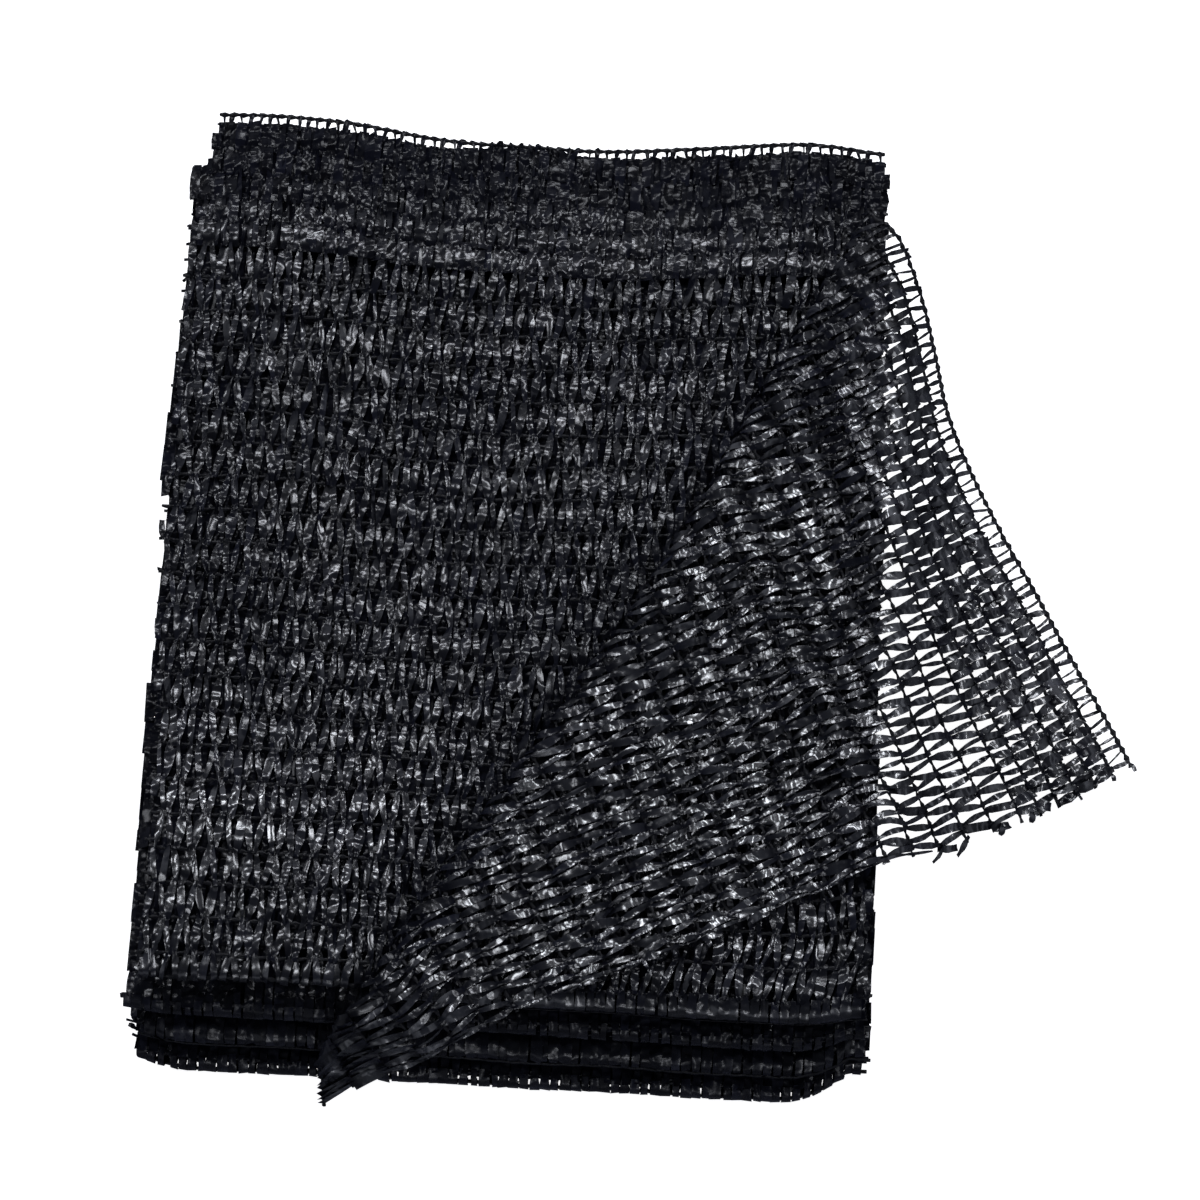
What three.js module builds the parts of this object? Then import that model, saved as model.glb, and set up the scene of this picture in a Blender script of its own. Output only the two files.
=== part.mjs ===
// A knitted shade net folded into a flat bundle, with one corner of the top layer turned back.
// The net is folded double and then laid back and forth in four folds, so sixteen layers lie
// on each other. All of it is one sheet: its section is drawn in the YZ plane and runs along X.
// Millimetres. X runs along the rows of the knit, -Y is the front of the bundle, Z is up.
import * as THREE from "three";

const CLOTH = { thickness: 1.4, course: 4.65, wale: 8.4 };
const SELVEDGE = { wale: 5.7, wales: 6 };
const STACK = { layers: 16, pitch: 2.35 };

// Where each front and back fold reaches at the two ends of the bundle, and how far its
// corners are rounded back there.
const FRONT_FOLDS = [
  { left: -107.3, right: -106.3, roundLeft: 1.5, roundRight: 2.5 },
  { left: -110.4, right: -109.8, roundLeft: 2, roundRight: 4 },
  { left: -113.6, right: -113.0, roundLeft: 2.5, roundRight: 6 },
  { left: -117.2, right: -116.0, roundLeft: 3.5, roundRight: 8 },
];
const BACK_FOLDS = [
  { left: 107.5, right: 109.5, roundLeft: 3, roundRight: 3 },
  { left: 109.0, right: 108.5, roundLeft: 4, roundRight: 2 },
  { left: 108.0, right: 110.5, roundLeft: 3, roundRight: 4 },
  { left: 109.5, right: 109.0, roundLeft: 5, roundRight: 4 },
];
const CORNER_WIDTH = 16;

// The cut ends of the layers, at y = 0, their slope along Y and how uneven they are.
const CUT_ENDS = { left: -101.8, leftSlope: -0.02, right: 64.2, rightSlope: -0.037, uneven: 1.5 };
const SECOND_LAYER_INSET = { from: 70, to: 112, by: 7 };

// The free selvedge of the second layer, which shows along the back of the bundle.
const BACK_SELVEDGE = [
  { x: -99, y: 116 },
  { x: -72, y: 114.6 },
  { x: -40, y: 111.4 },
  { x: 0, y: 112 },
  { x: 40, y: 116.6 },
  { x: 60, y: 115.4 },
];

// The turned-back corner: the fold it turns over, from the back to the front edge,
// with the radius of its roll.
const TURN = [
  { x: 57.4, y: 99.4, roll: 1.4 },
  { x: 51.6, y: 83.7, roll: 2.2 },
  { x: 44.2, y: 67.9, roll: 3.0 },
  { x: 34.7, y: 47.6, roll: 3.2 },
  { x: 22.2, y: 19.7, roll: 2.6 },
  { x: 9.7, y: -6.6, roll: 2.0 },
  { x: -7.0, y: -34.1, roll: 1.5 },
  { x: -25.9, y: -67.2, roll: 1.3 },
  { x: -41.1, y: -95.3, roll: 1.3 },
  { x: -48.3, y: -108.4, roll: 1.3 },
  { x: -53.0, y: -115.4, roll: 1.2 },
  { x: -57.8, y: -121.8, roll: 1.0 },
];
// Its selvedge and its cut end, as seen from above. The cut end runs from the net's corner
// over the bundle and hangs over the front edge to the tip of the turn.
const FLAP_SELVEDGE = [
  { x: 59.5, y: 98.6 },
  { x: 64.6, y: 95 },
  { x: 69.6, y: 83 },
  { x: 74.5, y: 67 },
  { x: 78.6, y: 53 },
  { x: 88.2, y: 36 },
  { x: 104.2, y: 10.5 },
  { x: 127.2, y: -27.1 },
];
const FLAP_CUT = [
  { x: 127.2, y: -27.1 },
  { x: 109.4, y: -40.3 },
  { x: 90.9, y: -52.4 },
  { x: 67.1, y: -69.5 },
  { x: 28.6, y: -89.8 },
  { x: -7.0, y: -107.0 },
  { x: -28.7, y: -116.8 },
  { x: -46.0, y: -121.8 },
  { x: -60.6, y: -127.0 },
];
// How the corner hangs past the right side and over the front edge of the bundle.
const SIDE_DRAPE = [
  { past: 0, drop: 0 },
  { past: 3.5, drop: 2.6 },
  { past: 8, drop: 9.5 },
  { past: 14, drop: 16.5 },
  { past: 22, drop: 21.8 },
  { past: 33, drop: 27.4 },
  { past: 46, drop: 32.2 },
  { past: 64, drop: 35.6 },
];
const FRONT_DRAPE = [
  { past: 0, drop: 0 },
  { past: 5, drop: 1.0 },
  { past: 9, drop: 4.2 },
  { past: 12.5, drop: 11.5 },
  { past: 16, drop: 19.5 },
  { past: 20.6, drop: 30.5 },
];
const SIDE_START = 3.2;
const FRONT_START = -105;
// How far the sheet slips along the turn as it rolls over, as a share of the arc; how far from
// the turn it has settled; and how far its bowed selvedge is felt across the knit.
const ROLL_SLIP = 0.55;
const SETTLE = 26;
const BOW_WIDTH = 90;
// Under the turn, the cut end of the top layer slants back to the other layers' cut ends.
const SLANT = { x: -46, length: 240 };

// How fine the sheet is divided. The openwork is cut where the corner overhangs, at twice
// the pitch of the courses and at the pitch of the rows: each hole lies between two courses,
// and strip is half the width of the cloth left along a row.
const LAYER_ROWS = 5;
const TURN_STEPS = { outer: 6, inner: 4 };
const COLUMNS = 10;
const TOP_COLUMNS = 5;
const ROLL_STEPS = 5;
const HOLE = { pitch: 2 * CLOTH.course, edge: 2.0, length: 5.3, strip: 1.2 };
const BODY_ROWS = 6;
const OVERHANG_END = 90;
const PLAIN_ROWS = 7;
const HANGING_ROWS = 5;
const TONGUE_STEPS = 24;
const KEY_REACH = 400;

const clamp = (t) => Math.min(1, Math.max(0, t));
const smooth = (t) => clamp(t) * clamp(t) * (3 - 2 * clamp(t));
const lerp = (a, b, t) => a + (b - a) * t;

// A smooth curve through a table's rows, from one column to another.
function curveBy(table, key, value) {
  return (at) => {
    const sign = Math.sign(table[table.length - 1][key] - table[0][key]);
    let i = 0;
    while (i < table.length - 2 && sign * (at - table[i + 1][key]) > 0) i += 1;
    const row = (n) => table[Math.min(table.length - 1, Math.max(0, n))];
    const slope = (n) => {
      const span = row(n + 1)[key] - row(n - 1)[key];
      return (row(n + 1)[value] - row(n - 1)[value]) / span;
    };
    const width = row(i + 1)[key] - row(i)[key];
    const t = clamp((at - row(i)[key]) / width);
    const [t2, t3] = [t * t, t * t * t];
    return (
      (2 * t3 - 3 * t2 + 1) * row(i)[value] +
      (t3 - 2 * t2 + t) * width * slope(i) +
      (3 * t2 - 2 * t3) * row(i + 1)[value] +
      (t3 - t2) * width * slope(i + 1)
    );
  };
}

// A curve seen from above, read by the share of its length.
function planCurve(table) {
  const points = table.map((row) => new THREE.Vector3(row.x, row.y, 0));
  const curve = new THREE.CatmullRomCurve3(points, false, "centripetal");
  curve.arcLengthDivisions = 400;
  return (share) => curve.getPointAt(clamp(share));
}

const layerHeight = (n) => CLOTH.thickness / 2 + (STACK.layers - n) * STACK.pitch;
const TOP = layerHeight(1);

// The layers in the order in which the net runs through them, from the top one to the second.
function layerOrder() {
  const half = STACK.layers / 2;
  const down = Array.from({ length: half }, (_, i) => 2 * i + (i % 2 ? 2 : 1));
  const up = Array.from({ length: half }, (_, i) => 2 * i + (i % 2 ? 1 : 2));
  return [...down, ...up.reverse()];
}

// How far the stack is raised or pressed together at a place, as a share of its height.
function loft(x, y) {
  const waves = 0.022 * Math.sin(x / 29 + 0.7) * Math.cos(y / 43) + 0.014 * Math.sin((x + y) / 24);
  const left = smooth((-82 - x) / 22);
  const right = smooth((x - 20) / 46);
  return 1 + waves - 0.08 * left - 0.035 * right;
}

const cutLeft = (v, y) =>
  CUT_ENDS.left +
  CUT_ENDS.leftSlope * y +
  CUT_ENDS.uneven * (Math.sin(v / 57) + 0.6 * Math.sin(v / 19 + 1));
const cutRight = (v, y) =>
  CUT_ENDS.right +
  CUT_ENDS.rightSlope * y +
  0.6 * CUT_ENDS.uneven * (Math.sin(v / 63 + 2) + 0.6 * Math.sin(v / 23));

// Where a fold reaches at x, with its rounded corners.
function foldReach(fold, x) {
  const { left, right } = CUT_ENDS;
  const toRight = clamp((x - (right - CORNER_WIDTH)) / CORNER_WIDTH);
  const toLeft = clamp((left + CORNER_WIDTH - x) / CORNER_WIDTH);
  const back = fold.roundRight * toRight ** 2 + fold.roundLeft * toLeft ** 2;
  const straight = lerp(fold.left, fold.right, (x - left) / (right - left));
  return straight - Math.sign(straight) * back;
}

const OUTER_RADIUS = 1.5 * STACK.pitch;
const backSelvedge = curveBy(BACK_SELVEDGE, "x", "y");
const topSelvedge = () => TURN[0].y;

// The turn between two layers that follow each other in the net.
function turnBetween(a, b, side) {
  const fold = Math.ceil(Math.min(a, b) / 4) - 1;
  const radius = Math.abs(layerHeight(a) - layerHeight(b)) / 2;
  const isHalfFold = side > 0 && Math.min(a, b) === STACK.layers - 1;
  const inset = isHalfFold ? radius : OUTER_RADIUS;
  const reach = (side < 0 ? FRONT_FOLDS : BACK_FOLDS)[fold];
  return {
    side,
    radius,
    height: (layerHeight(a) + layerHeight(b)) / 2,
    down: a < b ? 1 : -1,
    centre: (x) => foldReach(reach, x) - side * inset,
    length: Math.PI * radius,
  };
}

// The whole section, as a chain of flat layers and turns. Each has its start and length along
// the net, measured at the middle of the bundle.
function sectionParts() {
  const order = layerOrder();
  const parts = [];
  let start = topSelvedge;
  let at = 0;
  order.forEach((layer, i) => {
    const side = i % 2 ? 1 : -1;
    const turn = i + 1 < order.length ? turnBetween(layer, order[i + 1], side) : null;
    const end = turn ? turn.centre : backSelvedge;
    const length = Math.abs(end(0) - start(0));
    parts.push({ layer, height: layerHeight(layer), from: start, to: end, at, length });
    at += length;
    if (!turn) return;
    parts.push({ turn, at, length: turn.length });
    at += turn.length;
    start = turn.centre;
  });
  return parts;
}

const PARTS = sectionParts();
const FRONT = PARTS[0].length;
const NET_WIDTH = PARTS[PARTS.length - 1].at + PARTS[PARTS.length - 1].length;

// The part of the section that holds v.
const partAt = (v) => PARTS.find((p) => v <= p.at + p.length) ?? PARTS[PARTS.length - 1];

// A point of the section at a distance v along the net from the top layer's selvedge.
function sectionPoint(v, x) {
  const part = partAt(v);
  const share = clamp((v - part.at) / part.length);
  let y;
  let z;
  if (part.turn) {
    const { side, radius, height, down, centre } = part.turn;
    y = centre(x) + side * radius * Math.sin(Math.PI * share);
    z = height + down * radius * Math.cos(Math.PI * share);
  } else {
    y = lerp(part.from(x), part.to(x), share);
    z = part.height;
  }
  const base = layerHeight(STACK.layers);
  return new THREE.Vector3(x, y, base + (z - base) * loft(x, y));
}

const turnX = curveBy(TURN, "y", "x");
const turnRoll = curveBy(TURN, "y", "roll");
const sideDrop = curveBy(SIDE_DRAPE, "past", "drop");
const frontDrop = curveBy(FRONT_DRAPE, "past", "drop");
const flapSelvedge = planCurve(FLAP_SELVEDGE);
const flapCut = planCurve(FLAP_CUT);

// The turned-back sheet's height at a place where it has settled.
function flapHeight(x, y) {
  const base = layerHeight(STACK.layers);
  const edge = CUT_ENDS.right + CUT_ENDS.rightSlope * y + SIDE_START;
  const onEdge = Math.min(x, edge);
  const top = base + (TOP - base) * loft(onEdge, y) + STACK.pitch;
  const side = x > edge ? sideDrop(x - edge) : 0;
  const front = y < FRONT_START ? frontDrop(FRONT_START - y) : 0;
  return top - side * (top / (TOP + STACK.pitch)) - front;
}

// The outward direction of the turned-back sheet.
function flapNormal(x, y) {
  const step = 0.5;
  const dx = (flapHeight(x + step, y) - flapHeight(x - step, y)) / (2 * step);
  const dy = (flapHeight(x, y + step) - flapHeight(x, y - step)) / (2 * step);
  return new THREE.Vector3(-dx, -dy, 1).normalize();
}

// The distance along the net at which the turn reaches the front edge and its tip.
function tongueTable() {
  const rows = [];
  const last = TURN[TURN.length - 1];
  let v = FRONT;
  let y = topSelvedge() - FRONT;
  let before = new THREE.Vector3(turnX(y), y, flapHeight(turnX(y), y));
  rows.push({ v, y });
  for (let i = 1; i <= TONGUE_STEPS; i += 1) {
    y = lerp(topSelvedge() - FRONT, last.y, i / TONGUE_STEPS);
    const here = new THREE.Vector3(turnX(y), y, flapHeight(turnX(y), y));
    v += Math.hypot(here.y - before.y, here.z - before.z);
    rows.push({ v, y });
    before = here;
  }
  return rows;
}
const TONGUE = tongueTable();
const TIP = TONGUE[TONGUE.length - 1].v;
const tongueY = curveBy(TONGUE, "v", "y");
const turnY = (v) => (v <= FRONT ? topSelvedge() - v : tongueY(v));

// The roll of the turn at v: the frame it turns in, its radius and its lowest point.
function rollAt(v) {
  const y = turnY(v);
  const x = turnX(y);
  const radius = turnRoll(y);
  const out = flapNormal(x, y);
  const step = 1;
  const [ya, yb] = [y + step, y - step];
  const ahead = new THREE.Vector3(turnX(ya), ya, flapHeight(turnX(ya), ya));
  const behind = new THREE.Vector3(turnX(yb), yb, flapHeight(turnX(yb), yb));
  const along = ahead.sub(behind).normalize();
  const outward = new THREE.Vector3().crossVectors(out, along).normalize();
  const settled = new THREE.Vector3(x, y, flapHeight(x, y));
  const low = settled.addScaledVector(out, -STACK.pitch);
  return { radius, out, along, outward, low: low.addScaledVector(outward, -radius) };
}

// A point on the roll, from 0 under it to 1 on top of it.
function rollPoint(v, share) {
  const { radius, out, along, outward, low } = rollAt(v);
  const angle = Math.PI * share;
  return low
    .clone()
    .addScaledVector(outward, radius * Math.sin(angle))
    .addScaledVector(out, radius * (1 - Math.cos(angle)))
    .addScaledVector(along, -ROLL_SLIP * radius * angle);
}

// A point of the turned-back corner, at a share of the way from the roll to the cut end.
function flapPoint(v, share) {
  const w = v / TIP;
  const start = rollPoint(v, 1);
  const end = flapCut(w);
  const straight = new THREE.Vector3(lerp(start.x, end.x, share), lerp(start.y, end.y, share), 0);
  const edge = flapSelvedge(share);
  const first = rollPoint(0, 1);
  const corner = flapCut(0);
  const bow = new THREE.Vector3(
    edge.x - lerp(first.x, corner.x, share),
    edge.y - lerp(first.y, corner.y, share),
    0,
  );
  const fade = (1 - clamp(v / BOW_WIDTH)) ** 1.5;
  const plan = straight.addScaledVector(bow, fade * Math.sin(Math.PI * clamp(share)) ** 0.5);
  const settled = flapHeight(plan.x, plan.y);
  const raised = start.z - flapHeight(start.x, start.y);
  const travelled = Math.hypot(plan.x - start.x, plan.y - start.y);
  return new THREE.Vector3(plan.x, plan.y, settled + raised * (1 - smooth(travelled / SETTLE)));
}

// The left cut end of the net at v. The top layer's slants, and the second one's is drawn in
// towards the back.
function leftCutX(v) {
  const y = sectionPoint(v, CUT_ENDS.left).y;
  const plain = cutLeft(v, y);
  if (v > NET_WIDTH - PARTS[PARTS.length - 1].length) {
    const { from, to, by } = SECOND_LAYER_INSET;
    return plain + by * smooth((y - from) / (to - from));
  }
  return lerp(SLANT.x, plain, smooth((v - FRONT) / SLANT.length));
}

// A point of a plain layer, from 0 at its right cut end to 1 at its left end or at the turn.
function layerPoint(v, share) {
  const right = cutRight(v, sectionPoint(v, CUT_ENDS.right).y);
  const left = v <= FRONT ? rollAt(v).low.x : leftCutX(v);
  const point = sectionPoint(v, lerp(right, left, share));
  if (v <= FRONT) point.lerp(rollAt(v).low, share ** 6);
  return point;
}

// The mid surface of the sheet, as rows of points that lie along the rows of the knit.
class Sheet {
  constructor() {
    this.points = [];
    this.triangles = [];
  }

  row(entries) {
    return entries.map(({ key, point }) => {
      this.points.push(point);
      return { key, id: this.points.length - 1 };
    });
  }

  // Adds triangles between two rows, but for the cells that are open.
  join(a, b, open = []) {
    const isOpen = (keys) =>
      open.some((cell) => Math.min(...keys) > cell.from - 0.01 && Math.max(...keys) < cell.to + 0.01);
    let i = 0;
    let j = 0;
    while (i < a.length - 1 || j < b.length - 1) {
      const useA = j === b.length - 1 || (i < a.length - 1 && a[i + 1].key <= b[j + 1].key);
      const next = useA ? a[i + 1] : b[j + 1];
      const corners = [a[i], b[j], next];
      if (!isOpen(corners.map((c) => c.key))) this.triangles.push(corners.map((c) => c.id));
      if (useA) i += 1;
      else j += 1;
    }
  }

  // The closed solid: both faces of the sheet, and a wall along each free edge.
  solid(thickness) {
    const count = this.points.length;
    const normals = this.points.map(() => new THREE.Vector3());
    const [ab, ac] = [new THREE.Vector3(), new THREE.Vector3()];
    for (const [a, b, c] of this.triangles) {
      ab.subVectors(this.points[b], this.points[a]);
      ac.subVectors(this.points[c], this.points[a]);
      ab.cross(ac);
      for (const n of [a, b, c]) normals[n].add(ab);
    }
    const offset = (side) =>
      this.points.flatMap((p, i) =>
        p.clone().addScaledVector(normals[i].clone().normalize(), (side * thickness) / 2).toArray(),
      );
    const position = [...offset(1), ...offset(-1)];
    const faces = [];
    const free = new Map();
    for (const [a, b, c] of this.triangles) {
      faces.push(a, b, c, a + count, c + count, b + count);
      for (const [p, q] of [[a, b], [b, c], [c, a]]) {
        if (free.has(`${q} ${p}`)) free.delete(`${q} ${p}`);
        else free.set(`${p} ${q}`, [p, q]);
      }
    }
    for (const [p, q] of free.values()) faces.push(q, p, p + count, q, p + count, q + count);
    const geometry = new THREE.BufferGeometry();
    geometry.setAttribute("position", new THREE.Float32BufferAttribute(position, 3));
    geometry.setIndex(faces);
    return geometry;
  }
}

// The distances along the net at which the turned-back part is divided: both sides of each
// knitted row where the corner overhangs, and wider steps on the bundle.
function turnedRows() {
  const open = [];
  const at = [0, HOLE.strip];
  const side = HOLE.strip;
  const first = SELVEDGE.wale;
  const band = SELVEDGE.wale * SELVEDGE.wales;
  open.push([side, first - side]);
  at.push(first - side, first + side, (first + band - SELVEDGE.wale) / 2);
  at.push(band - SELVEDGE.wale - side, band - SELVEDGE.wale + side, band - side, band + side);
  open.push([band - SELVEDGE.wale + side, band - side]);
  for (let i = 1; i <= BODY_ROWS; i += 1) {
    const row = band + i * CLOTH.wale;
    open.push([row - CLOTH.wale + side, row - side]);
    at.push(row - side, row + side);
  }
  const last = at[at.length - 1];
  for (let i = 1; i <= PLAIN_ROWS; i += 1) at.push(lerp(last, FRONT, i / PLAIN_ROWS));
  return { at, open };
}

// The stations of a turned-back row, from its right cut end over the turn to its free end.
// On the corner, the key counts the distance to the cut end.
function turnedStations(v) {
  const stations = [];
  for (let i = 0; i <= TOP_COLUMNS; i += 1)
    stations.push({ key: i / TOP_COLUMNS - 1, point: layerPoint(v, i / TOP_COLUMNS) });
  return [...stations, ...rollStations(v, 1), ...flapStations(v)];
}

// The stations over the roll of the turn.
function rollStations(v, first) {
  const stations = [];
  for (let i = first; i <= ROLL_STEPS; i += 1)
    stations.push({ key: i / ROLL_STEPS, point: rollPoint(v, i / ROLL_STEPS) });
  return stations;
}

// The stations of the turned-back corner, with both ends of each hole where it overhangs.
function flapStations(v) {
  const length = flapPoint(v, 0).distanceTo(flapPoint(v, 1));
  const isOver = (distance) => {
    const p = flapPoint(v, 1 - distance / length);
    return p.x > CUT_ENDS.right + CUT_ENDS.rightSlope * p.y + SIDE_START;
  };
  const distances = [0];
  for (let course = 0; (course + 0.6) * HOLE.pitch < length - 3; course += 1) {
    const near = course * HOLE.pitch + HOLE.edge;
    const isFine = v < OVERHANG_END;
    if (isOver(near + HOLE.length)) distances.push(near, near + HOLE.length);
    else if (isFine || course % 2) distances.push(near);
  }
  distances.sort((p, q) => q - p);
  return distances.map((distance) => ({
    key: KEY_REACH - distance,
    point: flapPoint(v, 1 - distance / length),
  }));
}

// The open cells between two rows that both have the stations on either side of a hole.
function openCells(a, b) {
  const keys = (row) => new Set(row.map((s) => s.key.toFixed(3)));
  const [inA, inB] = [keys(a), keys(b)];
  const cells = [];
  for (let course = 0; course * HOLE.pitch < FRONT; course += 1) {
    const to = KEY_REACH - course * HOLE.pitch - HOLE.edge;
    const from = to - HOLE.length;
    const both = [from, to].every((k) => inA.has(k.toFixed(3)) && inB.has(k.toFixed(3)));
    if (both) cells.push({ from, to });
  }
  return cells;
}

// The distances along the net at which the plain layers and their turns are divided.
function plainRows() {
  const stepsOf = ({ turn }) => {
    if (!turn) return LAYER_ROWS;
    return turn.radius < STACK.pitch ? TURN_STEPS.inner : TURN_STEPS.outer;
  };
  return PARTS.slice(1).flatMap((part) => {
    const steps = stepsOf(part);
    return Array.from({ length: steps }, (_, k) => part.at + (part.length * (k + 1)) / steps);
  });
}

// The whole net. The turned-back rows are joined over the turn; past the front edge the hanging
// tip is divided from the layer under it, which goes on round the first fold.
function buildNet() {
  const sheet = new Sheet();
  const { at, open } = turnedRows();
  const isOpenBand = (p, q) => open.some(([from, to]) => p > from - 0.01 && q < to + 0.01);
  let before = null;
  at.forEach((v, i) => {
    const row = sheet.row(turnedStations(v));
    if (before) sheet.join(before, row, isOpenBand(at[i - 1], v) ? openCells(before, row) : []);
    before = row;
  });
  const frontRow = before;
  const firstRoll = Math.ceil(ROLL_STEPS / 2);
  before = frontRow.slice(TOP_COLUMNS + firstRoll);
  for (let i = 1; i <= HANGING_ROWS; i += 1) {
    const v = lerp(FRONT, TIP, i / HANGING_ROWS);
    const row = sheet.row([...rollStations(v, firstRoll), ...flapStations(v)]);
    sheet.join(before, row);
    before = row;
  }
  before = frontRow.slice(0, TOP_COLUMNS + 1);
  for (const v of plainRows()) {
    const entries = [];
    for (let i = 0; i <= COLUMNS; i += 1)
      entries.push({ key: i / COLUMNS - 1, point: layerPoint(v, i / COLUMNS) });
    const row = sheet.row(entries);
    sheet.join(before, row);
    before = row;
  }
  return sheet.solid(CLOTH.thickness);
}

const geometry = buildNet();
geometry.computeBoundingBox();
const box = geometry.boundingBox;
geometry.translate(-(box.min.x + box.max.x) / 2, -(box.min.y + box.max.y) / 2, -box.min.z);

const blackTape = new THREE.MeshStandardMaterial({ color: 0x17181b, roughness: 0.42, metalness: 0 });
const net = new THREE.Mesh(geometry, blackTape);
net.name = "net";

const group = new THREE.Group();
group.add(net);

export default group;
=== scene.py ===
# A knitted shade net folded into a flat bundle, one corner of its top layer turned back.
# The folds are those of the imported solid. This script lays the real knit on them: pillar
# stitch chains along the rows, and flat tapes laid in zigzags between the chains.
# All is drawn in millimetres, in the frame it was measured in: X runs along the rows of the
# knit, -Y is the front of the bundle and Z is up. NET_CENTRE takes it to the frame of the
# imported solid, and every piece ends in metres.
import math

import bpy
import numpy as np
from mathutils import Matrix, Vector


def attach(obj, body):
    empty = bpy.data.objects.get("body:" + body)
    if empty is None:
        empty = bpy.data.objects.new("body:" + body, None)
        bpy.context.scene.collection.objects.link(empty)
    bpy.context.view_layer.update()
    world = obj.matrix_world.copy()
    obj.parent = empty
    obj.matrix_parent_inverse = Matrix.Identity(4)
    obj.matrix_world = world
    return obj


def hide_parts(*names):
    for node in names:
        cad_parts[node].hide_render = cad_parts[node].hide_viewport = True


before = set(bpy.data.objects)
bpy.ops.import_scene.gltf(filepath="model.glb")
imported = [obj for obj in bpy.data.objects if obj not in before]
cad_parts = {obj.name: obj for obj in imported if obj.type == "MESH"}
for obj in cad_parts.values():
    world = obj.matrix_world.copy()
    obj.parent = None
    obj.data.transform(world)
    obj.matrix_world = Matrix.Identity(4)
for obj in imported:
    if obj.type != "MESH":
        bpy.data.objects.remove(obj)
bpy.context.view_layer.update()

MM = 0.001
NET_CENTRE = np.array([11.0253, -5.4936, 0.0])
SEED = 20261

# -------- the folds of the net
COURSE = 4.65  # between two stitches of a chain
WALE = 8.4  # between two chains
SELVEDGE_WALE, SELVEDGE_WALES = 5.7, 6  # a band of closer chains
THICKNESS = 1.4
LAYERS = 16
PITCH = 2.35  # between two layers

# The folds from the top down: how far each reaches at the net's left and right cut ends, and
# how far its left and right corners are rounded back.
FRONT_FOLDS = [
    (-107.3, -106.3, 1.5, 2.5), (-110.4, -109.8, 2.0, 4.0),
    (-113.6, -113.0, 2.5, 6.0), (-117.2, -116.0, 3.5, 8.0),
]
BACK_FOLDS = [
    (107.5, 109.5, 3.0, 3.0), (109.0, 108.5, 4.0, 2.0),
    (108.0, 110.5, 3.0, 4.0), (109.5, 109.0, 5.0, 4.0),
]
CORNER_WIDTH = 16.0
LEFT_END, LEFT_SLOPE, RIGHT_END, RIGHT_SLOPE, END_UNEVEN = -101.8, -0.02, 64.2, -0.037, 1.5
SECOND_LAYER_INSET = (0, 7.0, 70.0, 42.0)  # a fade by y
# The stack's height: soft waves (height, length along x, phase, length along y; height and
# length), and the sides pressed lower (side, from, over, by).
LOFT_WAVE, LOFT_RIPPLE = (0.022, 29, 0.7, 43), (0.014, 24)
PRESSED_SIDES = [(-1, 82, 22, 0.08), (1, 20, 46, 0.035)]
BACK_SELVEDGE = [(-99, 116), (-72, 114.6), (-40, 111.4), (0, 112), (40, 116.6), (60, 115.4)]

# The turned-back corner: the fold it turns over (x, y, radius of the roll), its selvedge and
# its cut end seen from above, and how it hangs past the side and over the front edge.
TURN = [
    (57.4, 99.4, 1.4), (51.6, 83.7, 2.2), (44.2, 67.9, 3.0), (34.7, 47.6, 3.2),
    (22.2, 19.7, 2.6), (9.7, -6.6, 2.0), (-7.0, -34.1, 1.5), (-25.9, -67.2, 1.3),
    (-41.1, -95.3, 1.3), (-48.3, -108.4, 1.3), (-53.0, -115.4, 1.2), (-57.8, -121.8, 1.0),
]
FLAP_SELVEDGE = [
    (59.5, 98.6), (67.0, 97), (72.0, 84), (76.2, 67), (79.6, 53), (88.2, 36),
    (104.2, 10.5), (127.2, -27.1),
]
FLAP_CUT = [
    (127.2, -27.1), (109.4, -40.3), (90.9, -52.4), (67.1, -69.5), (28.6, -89.8),
    (-7.0, -107.0), (-28.7, -116.8), (-46.0, -121.8), (-60.6, -127.0),
]
SIDE_DRAPE = [
    (0, 0), (3.5, 2.6), (8, 9.5), (14, 16.5), (22, 21.8), (33, 27.4), (46, 32.2), (64, 35.6),
]
FRONT_DRAPE = [(0, 0), (5, 1.0), (9, 4.2), (12.5, 11.5), (16, 19.5), (20.6, 30.5)]
SIDE_START = 3.2  # past the cut end of the stack
FRONT_START = -105.0
ROLL_SLIP = 0.55  # how far the net slips along the turn, as a share of the roll's radius
SETTLE = 26.0  # the way over which the corner comes down from the roll
BOW_WIDTH = 90.0  # how far in from its selvedge the corner's outline is bowed
SLANT_X, SLANT_LENGTH = -46.0, 240.0  # the cut end hidden under the turn
UNDER_STEPS, ROLL_STEPS, FLAP_STEPS = 60, 24, 120
ROLL_PULL = 6  # how late the top layer starts to rise to the roll


def clamp(t):
    return np.clip(t, 0.0, 1.0)


def smooth(t):
    t = clamp(t)
    return t * t * (3 - 2 * t)


def lerp(a, b, t):
    return a + (b - a) * t


def fade(t, least, more, start, over):
    """The least up to start, and more of it over a way."""
    return least + more * smooth((t - start) / over)


def bell(d, width):
    return np.exp(-((d / width) ** 2))


def unit(a):
    return a / np.maximum(np.linalg.norm(a, axis=-1, keepdims=True), 1e-12)


def points(x, y, z):
    return np.stack(np.broadcast_arrays(x, y, z), axis=-1).astype(float)


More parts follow.
